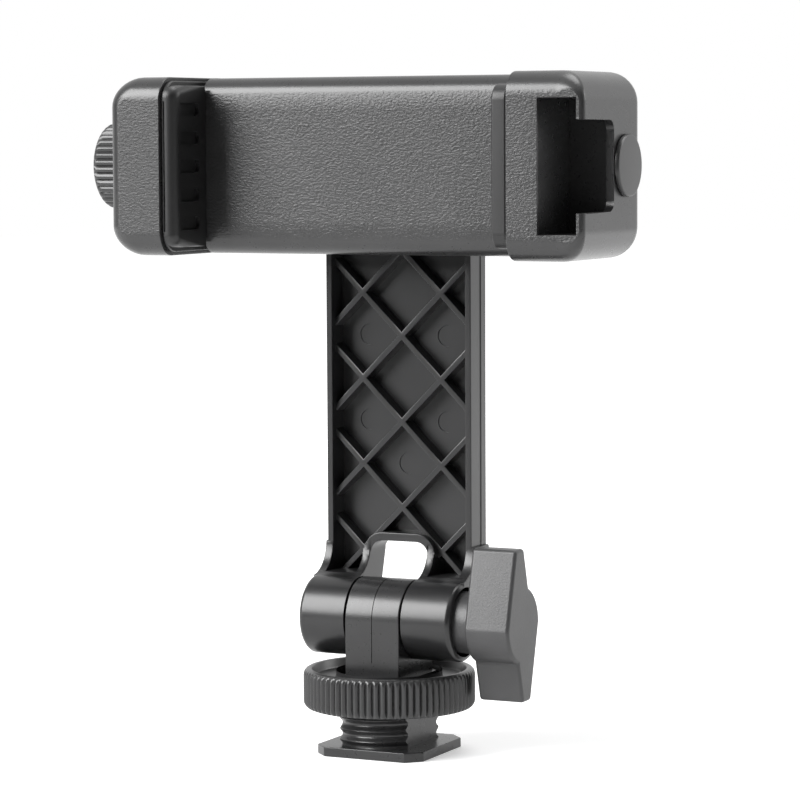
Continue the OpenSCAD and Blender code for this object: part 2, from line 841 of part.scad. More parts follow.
module cover_screws() {
    color(steel)
        for (x = [-cover_screw_x, cover_screw_x], z = [-post_z, post_z]) {
            rod_y(clamp_back - cover_head_h, clamp_back, cover_head_d / 2, x, swivel_z + z);
            rod_y(clamp_back - cover_screw_l, clamp_back - cover_head_h / 2, cover_screw_d / 2, x,
                swivel_z + z);
        }
}

// Blind grip pockets, open at the pad's front edge, at a pad face that looks along +X or -X
module pad_pockets(face_x, inward, y0) {
    for (i = [0 : pockets - 1])
        translate([0, 0, swivel_z + pocket_pitch * (i - (pockets - 1) / 2)])
            along_x(inward > 0 ? face_x - over : face_x - pocket_t,
                inward > 0 ? face_x + pocket_t : face_x + over)
                rounded(y0, y0 + pocket_l, -pocket_h / 2, pocket_h / 2,
                    [0, pocket_r, pocket_r, 0]);
}

module right_pad() {
    y0 = jaw_front + pad_margin / 2;
    color(rubber)
        difference() {
            along_x(right_inner - pad_t, right_inner)
                rounded(y0, body_front, right_lo + jaw_r / 2, right_hi - jaw_r / 2, [pad_t, 0, 0, pad_t]);
            pad_pockets(right_inner - pad_t, 1, y0 + pad_setback);
        }
}

module clamp_nut() {
    color(steel)
        difference() {
            block(nut_left, nut_right, screw_y - nut_w / 2, screw_y + nut_w / 2,
                swivel_z - nut_w / 2, swivel_z + nut_w / 2);
            rod_x(nut_left - over, nut_right + over, screw_d / 2 + shaft_gap, screw_y, swivel_z);
        }
}

module end_plug() {
    color(smooth_plastic) {
        rod_x(right_end, right_end + plug_t, plug_d / 2, screw_y, swivel_z);
        rod_x(right_end - plug_stem, right_end + plug_t / 2, plug_stem_r, screw_y, swivel_z);
    }
}

module sliding_jaw() {
    color(plastic)
        difference() {
            union() {
                difference() {
                    union() {
                        jaw_shape(left_end, -left_inner, left_lo, left_hi, [jaw_corner_r, 0, 0, jaw_corner_r],
                            [jaw_r, jaw_r, jaw_r, jaw_r], [jaw_edge_r, 0, 0, jaw_r]);
                        along_x(-left_inner - over, -left_inner + flange_t)
                            rounded(flange_back + seat_gap, clamp_back, left_lo, left_hi,
                                [0, jaw_r, jaw_r, 0]);
                    }
                    block(left_end + core_wall, -left_inner + over, jaw_front + core_wall,
                        clamp_back - core_wall, left_lo + core_wall, left_hi - core_wall);
                }
                rail_spaces(left_end + core_wall - over / 2, rail_end, 0);
            }
            rod_x(left_end - over, left_end + core_wall + over, screw_d / 2 + shaft_gap, screw_y, swivel_z);
        }
}

module left_pad() {
    y0 = jaw_front + pad_setback;
    y1 = body_front - 2 * slide_gap;
    z0 = left_lo + block_margin;
    z1 = left_hi - block_margin;
    color(rubber)
        difference() {
            union() {
                along_x(-left_inner, -left_inner + flange_t)
                    rounded(jaw_front + pad_margin, flange_back, left_lo + pad_margin,
                        left_hi - pad_margin, [jaw_r - pad_margin, 0, 0, jaw_r - pad_margin]);
                intersection() {
                    along_x(-left_inner + flange_t / 2, -left_inner + pad_t)
                        rounded(y0, y1, z0, z1, [block_r, 0, 0, block_r]);
                    translate([0, 0, z0])
                        linear_extrude(z1 - z0)
                            rounded(-left_inner, -left_inner + pad_t, y0, y1, [0, block_edge_r, 0, 0]);
                }
            }
            rail_spaces(-left_inner - over, -left_inner + pad_t + over, seat_gap);
            rod_x(-left_inner - over, -left_inner + pad_t + over, screw_hole_r, screw_y, swivel_z);
            pad_pockets(-left_inner + pad_t, -1, y0 + block_r);
        }
}

module clamp_screw() {
    groove = screw_d / 2 - clip_groove;
    color(steel)
        difference() {
            rod_x(left_end - knob_seat - screw_knob_t + screw_knob_face, screw_tail, screw_d / 2, screw_y,
                swivel_z);
            difference() {
                rod_x(clip_x - seat_gap, clip_x + clip_t + seat_gap, screw_d, screw_y, swivel_z);
                rod_x(clip_x - over, clip_x + clip_t + over, groove, screw_y, swivel_z);
            }
        }
}

module clamp_screw_knob() {
    x0 = left_end - knob_seat - screw_knob_t;
    x1 = left_end - knob_seat;
    color(plastic)
        translate([0, screw_y, swivel_z])
            rotate([0, 90, 0])
                difference() {
                    ribbed_disc(screw_knob_d / 2, screw_knob_rib_h, screw_knob_ribs, x0, x1,
                        screw_knob_bevel, screw_knob_bevel);
                    translate([0, 0, x0 + screw_knob_face - seat_gap])
                        cylinder(h = screw_knob_t, r = screw_d / 2 + seat_gap);
                }
}

module screw_clip() {
    color(steel)
        difference() {
            rod_x(clip_x, clip_x + clip_t, clip_d / 2, screw_y, swivel_z);
            rod_x(clip_x - over, clip_x + clip_t + over, screw_d / 2 - clip_groove + shaft_gap, screw_y,
                swivel_z);
            block(clip_x - over, clip_x + clip_t + over, screw_y - clip_mouth / 2, screw_y + clip_mouth / 2,
                swivel_z - clip_d, swivel_z);
        }
}

shoe_foot();
lock_wheel();
wheel_key_washer();
arm();
tilt_bolt();
tilt_washer();
tilt_knob();
tilt_knob_insert();
swivel_screw();
swivel_spring_washer();
swivel_friction_washer();
swivel_nut();
clamp_body();
clamp_back_cover();
cover_screws();
right_pad();
clamp_nut();
end_plug();
sliding_jaw();
left_pad();
clamp_screw();
clamp_screw_knob();
screw_clip();
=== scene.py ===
import math

import bmesh
import bpy
from mathutils import Matrix, Vector


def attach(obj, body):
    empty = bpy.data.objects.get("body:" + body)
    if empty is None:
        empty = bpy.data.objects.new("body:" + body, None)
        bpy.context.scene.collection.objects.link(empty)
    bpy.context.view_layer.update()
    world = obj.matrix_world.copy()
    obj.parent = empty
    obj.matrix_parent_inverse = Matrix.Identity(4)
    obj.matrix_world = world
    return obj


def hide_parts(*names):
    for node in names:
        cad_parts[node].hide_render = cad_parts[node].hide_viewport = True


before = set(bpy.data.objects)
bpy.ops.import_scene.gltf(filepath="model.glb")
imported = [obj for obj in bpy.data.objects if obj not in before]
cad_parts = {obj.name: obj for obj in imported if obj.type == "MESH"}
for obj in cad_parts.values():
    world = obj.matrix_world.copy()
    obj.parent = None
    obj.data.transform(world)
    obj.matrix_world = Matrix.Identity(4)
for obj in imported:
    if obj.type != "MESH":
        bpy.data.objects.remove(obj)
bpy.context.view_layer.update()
MM = 0.001

# Camera: a long lens a little above the table, to the right of the front.
# It stands as far off as the photographed perspective asks, without shift or depth of field.
CAMERA_PLACE = Vector((223.13, -460.74, 95.55)) * MM
CAMERA_TURN = math.radians(25.63)
CAMERA_DIP = math.radians(4.545)
CAMERA_ROLL = math.radians(0.284)
CAMERA_LENS = 149.1
CAMERA_FILM = 36
CAMERA_NEAR = 0.01

camera_data = bpy.data.cameras.new("camera")
camera_data.lens = CAMERA_LENS
camera_data.sensor_width = CAMERA_FILM
camera_data.clip_start = CAMERA_NEAR
camera = bpy.data.objects.new("camera", camera_data)
bpy.context.collection.objects.link(camera)
ahead = Vector((
    -math.sin(CAMERA_TURN) * math.cos(CAMERA_DIP),
    math.cos(CAMERA_TURN) * math.cos(CAMERA_DIP),
    -math.sin(CAMERA_DIP),
))
level = Vector((math.cos(CAMERA_TURN), math.sin(CAMERA_TURN), 0))
upright = level.cross(ahead)
roll = Matrix.Rotation(CAMERA_ROLL, 3, ahead)
camera.matrix_world = (
    Matrix((roll @ level, roll @ upright, -ahead)).transposed().to_4x4()
)
camera.matrix_world.translation = CAMERA_PLACE
bpy.context.scene.camera = camera
bpy.context.scene.view_settings.view_transform = "Standard"


# Studio: a white table with soft boxes round it, as for a catalogue picture.
# The table keeps the object's shadow and is white to the camera and in reflections.
class Wire:
    """An output in a node tree. Arithmetic on wires adds Math nodes."""

    def __init__(self, tree, socket=None):
        self.tree = tree
        self.socket = socket

    def node(self, kind, settings, inputs, output=0):
        """Adds a node: its settings come first, then the values or wires of its sockets."""
        made = self.tree.nodes.new("ShaderNode" + kind)
        for key, value in settings.items():
            setattr(made, key, value)
        for key, value in inputs.items():
            if isinstance(value, Wire):
                self.tree.links.new(value.socket, made.inputs[key])
            else:
                made.inputs[key].default_value = value
        return Wire(self.tree, made.outputs[output])

    def maths(self, how, a, b):
        return self.node("Math", {"operation": how}, {0: a, 1: b})

    def __add__(self, other):
        return self.maths("ADD", self, other)

    def __sub__(self, other):
        return self.maths("SUBTRACT", self, other)

    def __mul__(self, other):
        return self.maths("MULTIPLY", self, other)

    def __rsub__(self, other):
        return self.maths("SUBTRACT", other, self)

    __radd__ = __add__
    __rmul__ = __mul__

    def step(self, low, high):
        """0 below low and 1 above high, with a soft change between them."""
        return self.node("MapRange", {"interpolation_type": "SMOOTHSTEP"},
                         {"Value": self, "From Min": low, "From Max": high})

    def show(self, kind):
        """Sends a finished shader to the tree's output."""
        out = self.tree.nodes.new("ShaderNode" + kind)
        self.tree.links.new(self.socket, out.inputs["Surface"])

    def part(self, name):
        """Another output of the same node."""
        return Wire(self.tree, self.socket.node.outputs[name])

    def blend(self, first, second):
        """A colour between two colours, by this wire."""
        return self.node("Mix", {"data_type": "RGBA"}, {0: self, 6: first, 7: second}, 2)


def seen(tree):
    """1 for rays of the camera, of reflections and of glass."""
    path = Wire(tree).node("LightPath", {}, {})
    other = path.maths("MAXIMUM", path.part("Is Glossy Ray"), path.part("Is Transmission Ray"))
    return path.maths("MAXIMUM", path.part("Is Camera Ray"), other)


TABLE_SIZE = 3
TABLE_FRONT = -0.32
TABLE_GREY = 0.85
TABLE_GLOW = (0.4, 0.85)
GLOW_REACH = (0.15, 0.6)
WORLD_GREY = 0.28
ROOM_GREY = 0.05
WHITE_BEHIND = (-0.35, 0.3)
WHITE_ABOVE = (0.6, 0.9)

table_material = bpy.data.materials.new("white_table")
table_material.use_nodes = True
tree = table_material.node_tree
tree.nodes.clear()
view = seen(tree)
paint = view.node("BsdfDiffuse", {}, {"Color": (TABLE_GREY, TABLE_GREY, TABLE_GREY, 1)})
spot = view.node("NewGeometry", {}, {}, "Position")
far = view.node("VectorMath", {"operation": "LENGTH"}, {"Vector": spot}, "Value")
far = far.step(*GLOW_REACH)
glow = view.node("Emission", {}, {
    "Color": (1, 1, 1, 1),
    "Strength": view * (far * (TABLE_GLOW[1] - TABLE_GLOW[0]) + TABLE_GLOW[0])})
both = view.node("AddShader", {}, {0: paint, 1: glow})
both.show("OutputMaterial")

bm = bmesh.new()
bmesh.ops.create_grid(bm, x_segments=1, y_segments=1, size=TABLE_SIZE / 2)
table_mesh = bpy.data.meshes.new("table")
bm.to_mesh(table_mesh)
table_mesh.materials.append(table_material)
table = bpy.data.objects.new("table", table_mesh)
table.location.y = TABLE_FRONT + TABLE_SIZE / 2
bpy.context.collection.objects.link(table)

world = bpy.data.worlds.new("studio")
bpy.context.scene.world = world
world.use_nodes = True
tree = world.node_tree
tree.nodes.clear()
view = seen(tree)
path = view.node("LightPath", {}, {})
ray = view.node("TexCoord", {}, {}, "Generated")
ray = view.node("SeparateXYZ", {}, {"Vector": ray})
sweep = path.maths("MAXIMUM", ray.part("Y").step(*WHITE_BEHIND),
                   ray.part("Z").step(*WHITE_ABOVE))
white = path.maths("MAXIMUM", sweep * (1 - ROOM_GREY) + ROOM_GREY, path.part("Is Camera Ray"))
sky = view.node("Background", {}, {
    "Color": (1, 1, 1, 1), "Strength": view * (white - WORLD_GREY) + WORLD_GREY})
sky.show("OutputWorld")

LAMP_TARGET = Vector((0, 0, 55)) * MM
LAMPS = [
    ("front_box", (-570, -700, 560), (620, 800), 21.5),
    ("top_box", (60, 260, 900), (500, 500), 3.5),
    ("back_box", (560, 520, 320), (320, 320), 1),
]
for name, place, (width, height), power in LAMPS:
    lamp_data = bpy.data.lights.new(name, "AREA")
    lamp_data.shape = "RECTANGLE"
    lamp_data.size = width * MM
    lamp_data.size_y = height * MM
    lamp_data.energy = power
    lamp = bpy.data.objects.new(name, lamp_data)
    lamp.location = Vector(place) * MM
    lamp.rotation_euler = (lamp.location - LAMP_TARGET).to_track_quat("Z", "Y").to_euler()
    bpy.context.collection.objects.link(lamp)


# Shoe foot: a square plate with a threaded stem and the hinge's tongue, moulded in one piece
# of black plastic. Two flats run down the stem, and a fine parting line down the tongue.
FOOT_W = 18.2
FOOT_T = 1.5
FOOT_CLIP = 2.2
STEM_R = 8.25
STEM_FLAT = 5.65
STEM_TOP = 12.2
THREAD = 0.6
PITCH = 1.7
THREAD_STEPS = 64
THREAD_TURNS = 9
THREAD_START = 0.6
THREAD_SINK = 0.4
CUT = 5
PLATE_EDGE_R = 0.16
TONGUE_EDGE_R = 0.22
TONGUE_W = 9.2
HINGE_Z = 20.9
KNUCKLE_R = 6.2
BOLT_R = 2.55
SEAM_W = 0.13
SEAM_DEPTH = 0.12
SEAM_Z = 14.6
FOOT_BLACK = (0.02, 0.02, 0.0205)
TOUCHING = 0.001
WELD = 0.002
LATHE_WELD = 0.0005
FLAT_TURN = math.radians(0.3)
SMOOTH_TURN = math.radians(32)
FLOW_SCALE = 0.09
TINT = 0.14
GLOSS_CHANGE = 0.05
LEATHER_SCALE = (1.9, 1.9, 3.2)
LEATHER_FACING = (0.95, 0.995)
LEATHER_DEPTH = (-9.8, -9.6)
LEATHER_MATT = 0.1
SQUARE = (0, 0, 0, 0)

PLACES = {
    "x": lambda u, v, d: (d, u, v),
    "y": lambda u, v, d: (u, d, v),
    "z": lambda u, v, d: (u, v, d),
}
AXES = {"x": Vector((1, 0, 0)), "y": Vector((0, 1, 0)), "z": Vector((0, 0, 1))}


def arc(u, v, r, start, end, steps=12):
    """Points along an arc, from one angle to another in degrees."""
    turns = [math.radians(start + (end - start) * i / steps) for i in range(steps + 1)]
    return [(u + r * math.cos(a), v + r * math.sin(a)) for a in turns]


def rounded(u0, u1, v0, v1, radii, steps=10):
    """A rectangle with rounded corners, counted from the low corner round by the right."""
    r = radii
    corners = [(u0 + r[0], v0 + r[0], 180), (u1 - r[1], v0 + r[1], 270),
               (u1 - r[2], v1 - r[2], 0), (u0 + r[3], v1 - r[3], 90)]
    points = []
    for (u, v, start), radius in zip(corners, r):
        points += arc(u, v, radius, start, start + 90, steps) if radius else [(u, v)]
    return points


def slab(axis, low, high, outline):
    """A flat outline carried from low to high along an axis, as a closed solid."""
    solid = bmesh.new()
    face = solid.faces.new([solid.verts.new(PLACES[axis](u, v, low)) for u, v in outline])
    grown = bmesh.ops.extrude_face_region(solid, geom=[face])["geom"]
    bmesh.ops.translate(solid, vec=AXES[axis] * (high - low),
                        verts=[g for g in grown if isinstance(g, bmesh.types.BMVert)])
    bmesh.ops.recalc_face_normals(solid, faces=solid.faces)
    return solid


def lathe(axis, centre, profile, steps=96):
    """A profile of radius and depth spun round an axis. The solid is closed where the profile's
    ends lie on the axis or meet."""
    solid = bmesh.new()
    side = PLACES[axis](1, 0, 0)
    points = [solid.verts.new(Vector(side) * r + AXES[axis] * d) for r, d in profile]
    edges = [solid.edges.new(pair) for pair in zip(points, points[1:])]
    bmesh.ops.spin(solid, geom=points + edges, cent=(0, 0, 0), axis=AXES[axis],
                   angle=math.tau, steps=steps, use_merge=True)
    bmesh.ops.remove_doubles(solid, verts=solid.verts, dist=LATHE_WELD)
    bmesh.ops.translate(solid, verts=solid.verts, vec=centre)
    bmesh.ops.recalc_face_normals(solid, faces=solid.faces)
    return solid


def rod(axis, low, high, r, centre, steps=96):
    """A round bar along an axis."""
    return lathe(axis, centre, [(0, low), (r, low), (r, high), (0, high)], steps)


def combine(how, base, *tools):
    """Joins, cuts or crosses closed solids."""
    def holder(solid):
        mesh = bpy.data.meshes.new("solid")
        solid.to_mesh(mesh)
        solid.free()
        made = bpy.data.objects.new("solid", mesh)
        bpy.context.collection.objects.link(made)
        return made

    body = holder(base)
    others = [holder(tool) for tool in tools]
    for other in others:
        step = body.modifiers.new("step", "BOOLEAN")
        step.operation = how
        step.solver = "EXACT"
        step.object = other
    result = bmesh.new()
    result.from_mesh(body.evaluated_get(bpy.context.evaluated_depsgraph_get()).to_mesh())
    for made in [body, *others]:
        bpy.data.meshes.remove(made.data)
    bmesh.ops.remove_doubles(result, verts=result.verts, dist=WELD)
    bmesh.ops.dissolve_degenerate(result, edges=result.edges, dist=WELD)
    return result


def soften(solid, width, segments=2, wanted=lambda edge: True, sharpest=30):
    """Rounds the solid's sharp edges."""
    bmesh.ops.dissolve_limit(solid, angle_limit=FLAT_TURN, verts=solid.verts, edges=solid.edges)
    sharp = [edge for edge in solid.edges
             if edge.is_manifold and edge.calc_face_angle(0) > math.radians(sharpest)
             and wanted(edge)]
    bmesh.ops.bevel(solid, geom=sharp, offset=width, offset_type="OFFSET", affect="EDGES",
                    segments=segments, profile=0.5, material=-1, clamp_overlap=False)
    return solid


def piece(name, solid, material, body, slot, *nodes):
    """Makes the finished piece in metres and ties it to its body."""
    bmesh.ops.scale(solid, vec=(MM, MM, MM), verts=solid.verts)
    mesh = bpy.data.meshes.new(name)
    solid.to_mesh(mesh)
    solid.free()
    mesh.materials.append(material)
    mesh.shade_smooth()
    mesh.set_sharp_from_angle(angle=SMOOTH_TURN)
    made = bpy.data.objects.new(name, mesh)
    bpy.context.collection.objects.link(made)
    shading = made.modifiers.new("even_shading", "WEIGHTED_NORMAL")
    shading.keep_sharp = True
    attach(made, body)
    if nodes:
        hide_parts(*nodes)
    return made


def moulded(name, colour, rough, grain=0.9, relief=0.006, leather=0.0):
    """Moulded plastic or rubber: faint flow marks, a fine skin, and leather grain on fronts."""
    material = bpy.data.materials.new(name)
    material.use_nodes = True
    tree = material.node_tree
    tree.nodes.clear()
    start = Wire(tree)
    coordinates = start.node("TexCoord", {}, {}, "Object")
    millimetres = start.node("VectorMath", {"operation": "SCALE"},
                             {"Vector": coordinates, "Scale": 1000})
    flow = start.node("TexNoise", {}, {
        "Vector": millimetres, "Scale": FLOW_SCALE, "Detail": 3})
    skin = start.node("TexNoise", {}, {
        "Vector": millimetres, "Scale": 1 / grain, "Detail": 5, "Roughness": 0.62})
    shade = flow.step(0.3, 0.7)
    dark = tuple(c * (1 - TINT) for c in colour) + (1,)
    pale = tuple(c * (1 + TINT) for c in colour) + (1,)
    height = skin * relief
    gloss = skin * GLOSS_CHANGE + (rough - GLOSS_CHANGE / 2)
    if leather:
        facing = start.node("TexCoord", {}, {}, "Normal")
        front = start.node("SeparateXYZ", {}, {"Vector": facing}).part("Y")
        depth = start.node("SeparateXYZ", {}, {"Vector": millimetres}).part("Y")
        mask = (0 - front).step(*LEATHER_FACING) * (1 - depth.step(*LEATHER_DEPTH))
        stretched = start.node("VectorMath", {"operation": "MULTIPLY"},
                               {0: millimetres, 1: LEATHER_SCALE})
        wrinkles = start.node("TexNoise", {}, {
            "Vector": stretched, "Scale": 1, "Detail": 2, "Roughness": 0.5, "Distortion": 0.5})
        height = height + mask * wrinkles * leather
        gloss = gloss + mask * LEATHER_MATT
    bump = start.node("Bump", {}, {"Strength": 1, "Distance": MM, "Height": height})
    shader = start.node("BsdfPrincipled", {}, {
        "Base Color": shade.blend(dark, pale),
        "Roughness": gloss,
        "Normal": bump,
    })
    shader.show("OutputMaterial")
    return material


clip = FOOT_W / 2 - FOOT_CLIP
half = FOOT_W / 2
plate = soften(slab("z", 0, FOOT_T, [
    (-clip, -half), (clip, -half), (half, -clip), (half, clip),
    (clip, half), (-clip, half), (-half, clip), (-half, -clip)]), PLATE_EDGE_R)

thread = bmesh.new()
ridge = [(0, 1), (0.1, 0.97), (0.2, 0.8), (0.36, 0.3), (0.44, 0.06), (0.5, 0), (0.56, 0.06),
         (0.64, 0.3), (0.8, 0.8), (0.9, 0.97), (1, 1)]
points = [thread.verts.new((STEM_R - THREAD * depth, 0, PITCH * share)) for share, depth in ridge]
edges = [thread.edges.new(pair) for pair in zip(points, points[1:])]
bmesh.ops.spin(thread, geom=points + edges, cent=(0, 0, 0), axis=(0, 0, 1),
               angle=math.tau * THREAD_TURNS, steps=THREAD_STEPS * THREAD_TURNS,
               dvec=(0, 0, PITCH / THREAD_STEPS))
bmesh.ops.remove_doubles(thread, verts=thread.verts, dist=TOUCHING)
bmesh.ops.translate(thread, verts=thread.verts, vec=(0, 0, FOOT_T - 2 * PITCH + THREAD_START))
for height, away in [(FOOT_T - THREAD_SINK, -1), (STEM_TOP, 1)]:
    bmesh.ops.bisect_plane(thread, geom=thread.verts[:] + thread.edges[:] + thread.faces[:],
                           plane_co=(0, 0, height), plane_no=(0, 0, away), clear_outer=True)
    rim = [edge for edge in thread.edges if edge.is_boundary
           and all(abs(v.co.z - height) < TOUCHING for v in edge.verts)]
    bmesh.ops.holes_fill(thread, edges=rim, sides=0)
bmesh.ops.recalc_face_normals(thread, faces=thread.faces)
flats = [slab("z", 0, STEM_TOP + 2, rounded(middle - CUT, middle + CUT, -2 * CUT, 2 * CUT, SQUARE))
         for middle in (-STEM_FLAT - CUT, STEM_FLAT + CUT)]
thread = combine("DIFFERENCE", thread, *flats)


def tongue_outline(extra, low):
    """The tongue's side view above a low edge, grown by extra."""
    r = KNUCKLE_R + extra
    return [(-r, low), (r, low)] + arc(0, HINGE_Z, r, 0, 180, 28)


tongue = soften(slab("x", -TONGUE_W / 2, TONGUE_W / 2, tongue_outline(0, STEM_TOP - 1)),
                TONGUE_EDGE_R)
seam = combine("DIFFERENCE", slab("x", -SEAM_W / 2, SEAM_W / 2, tongue_outline(1, SEAM_Z)),
               slab("x", -1, 1, tongue_outline(-SEAM_DEPTH, SEAM_Z - 1)))
bore = rod("x", -TONGUE_W, TONGUE_W, BOLT_R, (0, 0, HINGE_Z), 48)
foot = combine("UNION", plate, thread, tongue)
foot = combine("DIFFERENCE", foot, bore, seam)
piece("foot_moulding", foot, moulded("foot_plastic", FOOT_BLACK, 0.28, relief=0.0004), "foot",
      "satin_plastic", "shoe_foot")


# Locking wheel: a ring of black plastic that screws along the stem, with fine grip ribs
# moulded round it. Each rib ends in a small arch under the rim, and the top is dished.
# The profile ends above its start, which leaves a thin open ring round the wheel's hole.
WHEEL_Z = 7
WHEEL_RIBS = 76
RIB_DEPTH = 0.45
WHEEL_R = 13.4
RIB_STEPS = 8
RIB_FADES = (0.0, 0.6, 5.2, 6.02)
GROOVE_POWER = 1.7
RIM_SHARE = 0.9
WHEEL_BLACK = (0.024, 0.024, 0.0245)
WHEEL_PROFILE = [
    (8.3, 4.45), (8.45, 4.6), (11.5, 4.6), (11.75, 4.7), (11.9, 4.95), (12, 5.9), (12.1, 6.04),
    (12.3, 6.1), (12.5, 6.1), (12.8, 6.04), (13.05, 5.9), (13.25, 5.66), (13.36, 5.36),
    (13.4, 5), (13.4, 4.6), (13.4, 3), (13.4, 1.4), (13.4, 1.05), (13.33, 0.7), (13.15, 0.36),
    (12.9, 0.12), (12.6, 0.02), (12.3, 0), (11.15, 0), (11.05, 0.1), (11.05, 1.15),
    (8.3, 1.15), (8.3, 5.75),
]


def rib_waves(solid, axis, centre, count, depth, r, fades):
    """Presses grooves between grip ribs into a turned rim. They fade out over the fades."""
    low, low_end, high_end, high = fades
    for vert in solid.verts:
        local = vert.co - Vector(centre)
        along = local.dot(AXES[axis])
        flat = local - AXES[axis] * along
        if flat.length < r * RIM_SHARE:
            continue
        u, v = [c for c, a in zip(flat, "xyz") if a != axis]
        share = (math.atan2(v, u) / math.tau * count) % 1
        groove = abs(2 * share - 1) ** GROOVE_POWER
        rise = min((along - low) / (low_end - low), (high - along) / (high - high_end), 1)
        rise = max(rise, 0)
        vert.co -= flat.normalized() * depth * groove * rise * rise * (3 - 2 * rise)


wheel = lathe("z", (0, 0, WHEEL_Z), WHEEL_PROFILE, WHEEL_RIBS * RIB_STEPS)
rib_waves(wheel, "z", (0, 0, WHEEL_Z), WHEEL_RIBS, RIB_DEPTH, WHEEL_R, RIB_FADES)
piece("wheel_moulding", wheel, moulded("wheel_plastic", WHEEL_BLACK, 0.3), "wheel",
      "satin_plastic", "lock_wheel")


# Tilting arm: one black moulding with side walls, a thin floor and a diamond lattice of ribs.
# Its foot forks round a window into two hinge knuckles; its round head carries the clamp's pivot.
ARM_HALF = 12.6
ARM_Y = 3.64
ARM_BACK = 9.04
ARM_FLOOR = 7.54
ARM_STEP_Y = 7.1
ARM_STEP = 0.12
ARM_INSIDE = 11.45
HEEL_Z = 30.4
FILLET = 5
FILLET_Y = -1.36
FILLET_Z = 32.017
POCKET_Z = 27.5
SLOT_X = 4.9
LEFT_KNUCKLE = 12.8
RIGHT_KNUCKLE = 13.1
SWIVEL_Z = 91.15
PIVOT_R = 9.2
RIB_Y = 4.94
RIB_T = 0.9
RIB_SINK = 0.45
LATTICE_STEP = 6.73
LATTICE_TOP = 78
RIM_X = 6.2
WINDOW_TOP = 32.4
RIM_T = 1.3
RIM_R = 3.3
WINDOW_R = 2
KNUCKLE_EDGE_R = 0.8
ARM_EDGE_R = 0.18
ARM_BACK_EDGE_R = 0.14
RIB_EDGE_R = 0.16
SHORTEST_EDGE = 0.25
HEAD_R = 4.677
HEAD_X = 9.1
WASHER_R = 5.4
WASHER_T = 2
SWIVEL_R = 2.05
SEAT_R = 7.85
SEAT_Y = 4.25
SCREW_HEAD_R = 4.5
SCREW_HEAD_Y = 5.84
MARKS = [(-1, 2), (1, 2), (-1, 4), (1, 4), (0, 5)]
MARK_R = 1.65
MARK_FRONT = 5
MARK_DEPTH = 0.15
ARM_BLACK = (0.014, 0.014, 0.0145)


def arm_outline(half, low):
    """The arm's front view: straight sides from a low edge up to the round head."""
    return [(-half, low), (half, low)] + arc(0, SWIVEL_Z, half, 0, 180, 48)


def heel(low, high):
    """One side of the fork, from the arm's back to the hinge, with its fillet in front."""
    rise = HEEL_Z - HINGE_Z
    lean = math.atan2(rise, ARM_BACK) - math.acos(KNUCKLE_R / math.hypot(ARM_BACK, rise))
    touch = math.degrees(math.atan2(HINGE_Z - FILLET_Z, -FILLET_Y))
    outline = [(0, HINGE_Z),
               (KNUCKLE_R * math.cos(lean), HINGE_Z + KNUCKLE_R * math.sin(lean)),
               (ARM_BACK, HEEL_Z), (ARM_BACK, FILLET_Z + 0.01)]
    return slab("x", low, high, outline + arc(FILLET_Y, FILLET_Z, FILLET, 0, touch, 16))


def knuckle(inner, outer):
    """A hinge knuckle with its outer edge rounded."""
    sign = 1 if outer > 0 else -1
    r = KNUCKLE_EDGE_R
    rim = [(KNUCKLE_R - r + r * math.cos(a), outer - sign * (r - r * math.sin(a)))
           for a in [math.radians(15 * i) for i in range(7)]]
    return lathe("x", (0, 0, HINGE_Z), [(0, inner), (KNUCKLE_R, inner)] + rim + [(0, outer)], 96)


def lattice_rib(turn, z):
    """One long rib of the lattice, turned and then raised to z."""
    rib = slab("y", RIB_Y, ARM_FLOOR + 0.5, rounded(-30, 30, -RIB_T / 2, RIB_T / 2, SQUARE))
    soften(rib, RIB_EDGE_R, 2, lambda edge: all(v.co.y < RIB_Y + 0.01 for v in edge.verts)
           and abs(edge.verts[0].co.x - edge.verts[1].co.x) > 1)
    bmesh.ops.rotate(rib, verts=rib.verts, cent=(0, 0, 0),
                     matrix=Matrix.Rotation(math.radians(turn), 3, "Y"))
    bmesh.ops.translate(rib, verts=rib.verts, vec=(0, 0, z))
    return rib


def pocket(front, back, extra):
    """The hollow between the arm's walls, grown by extra on its outline."""
    inside = ARM_INSIDE + extra
    hollow = slab("y", front, back, arm_outline(inside, POCKET_Z - extra))
    rim = RIM_X - extra
    frame_rim = slab("y", front - 1, back + 1, rounded(
        -rim, rim, 0, WINDOW_TOP + RIM_T - extra, (0, 0, RIM_R, RIM_R)))
    pivot = rod("y", front - 1, back + 1, PIVOT_R - extra, (0, 0, SWIVEL_Z))
    return combine("DIFFERENCE", hollow, frame_rim, pivot)


shell = combine("UNION",
                slab("y", ARM_Y, ARM_BACK - 0.5, arm_outline(ARM_HALF - ARM_STEP, HEEL_Z)),
                soften(slab("y", ARM_STEP_Y, ARM_BACK, arm_outline(ARM_HALF, HEEL_Z)),
                       ARM_BACK_EDGE_R))
shell = combine("UNION", shell, heel(-LEFT_KNUCKLE, -SLOT_X), heel(SLOT_X, RIGHT_KNUCKLE))
window = slab("y", -12, 12, rounded(-SLOT_X, SLOT_X, 10, WINDOW_TOP, (0, 0, WINDOW_R, WINDOW_R)))
shell = combine("DIFFERENCE", shell, pocket(FILLET_Y - KNUCKLE_R, ARM_FLOOR, 0), window)
soften(shell, ARM_EDGE_R, 2,
       lambda edge: edge.is_convex and edge.calc_length() > SHORTEST_EDGE)
ribs = [lattice_rib(turn, LATTICE_TOP - 2 * LATTICE_STEP * k)
        for k in range(-1, 6) for turn in (-45, 45)]
ribs = combine("UNION", *ribs)
ribs = combine("INTERSECT", ribs, pocket(RIB_Y - 1, ARM_FLOOR + 1, RIB_SINK))
arm = combine("UNION", shell, ribs, knuckle(-SLOT_X, -LEFT_KNUCKLE),
              knuckle(SLOT_X, RIGHT_KNUCKLE))
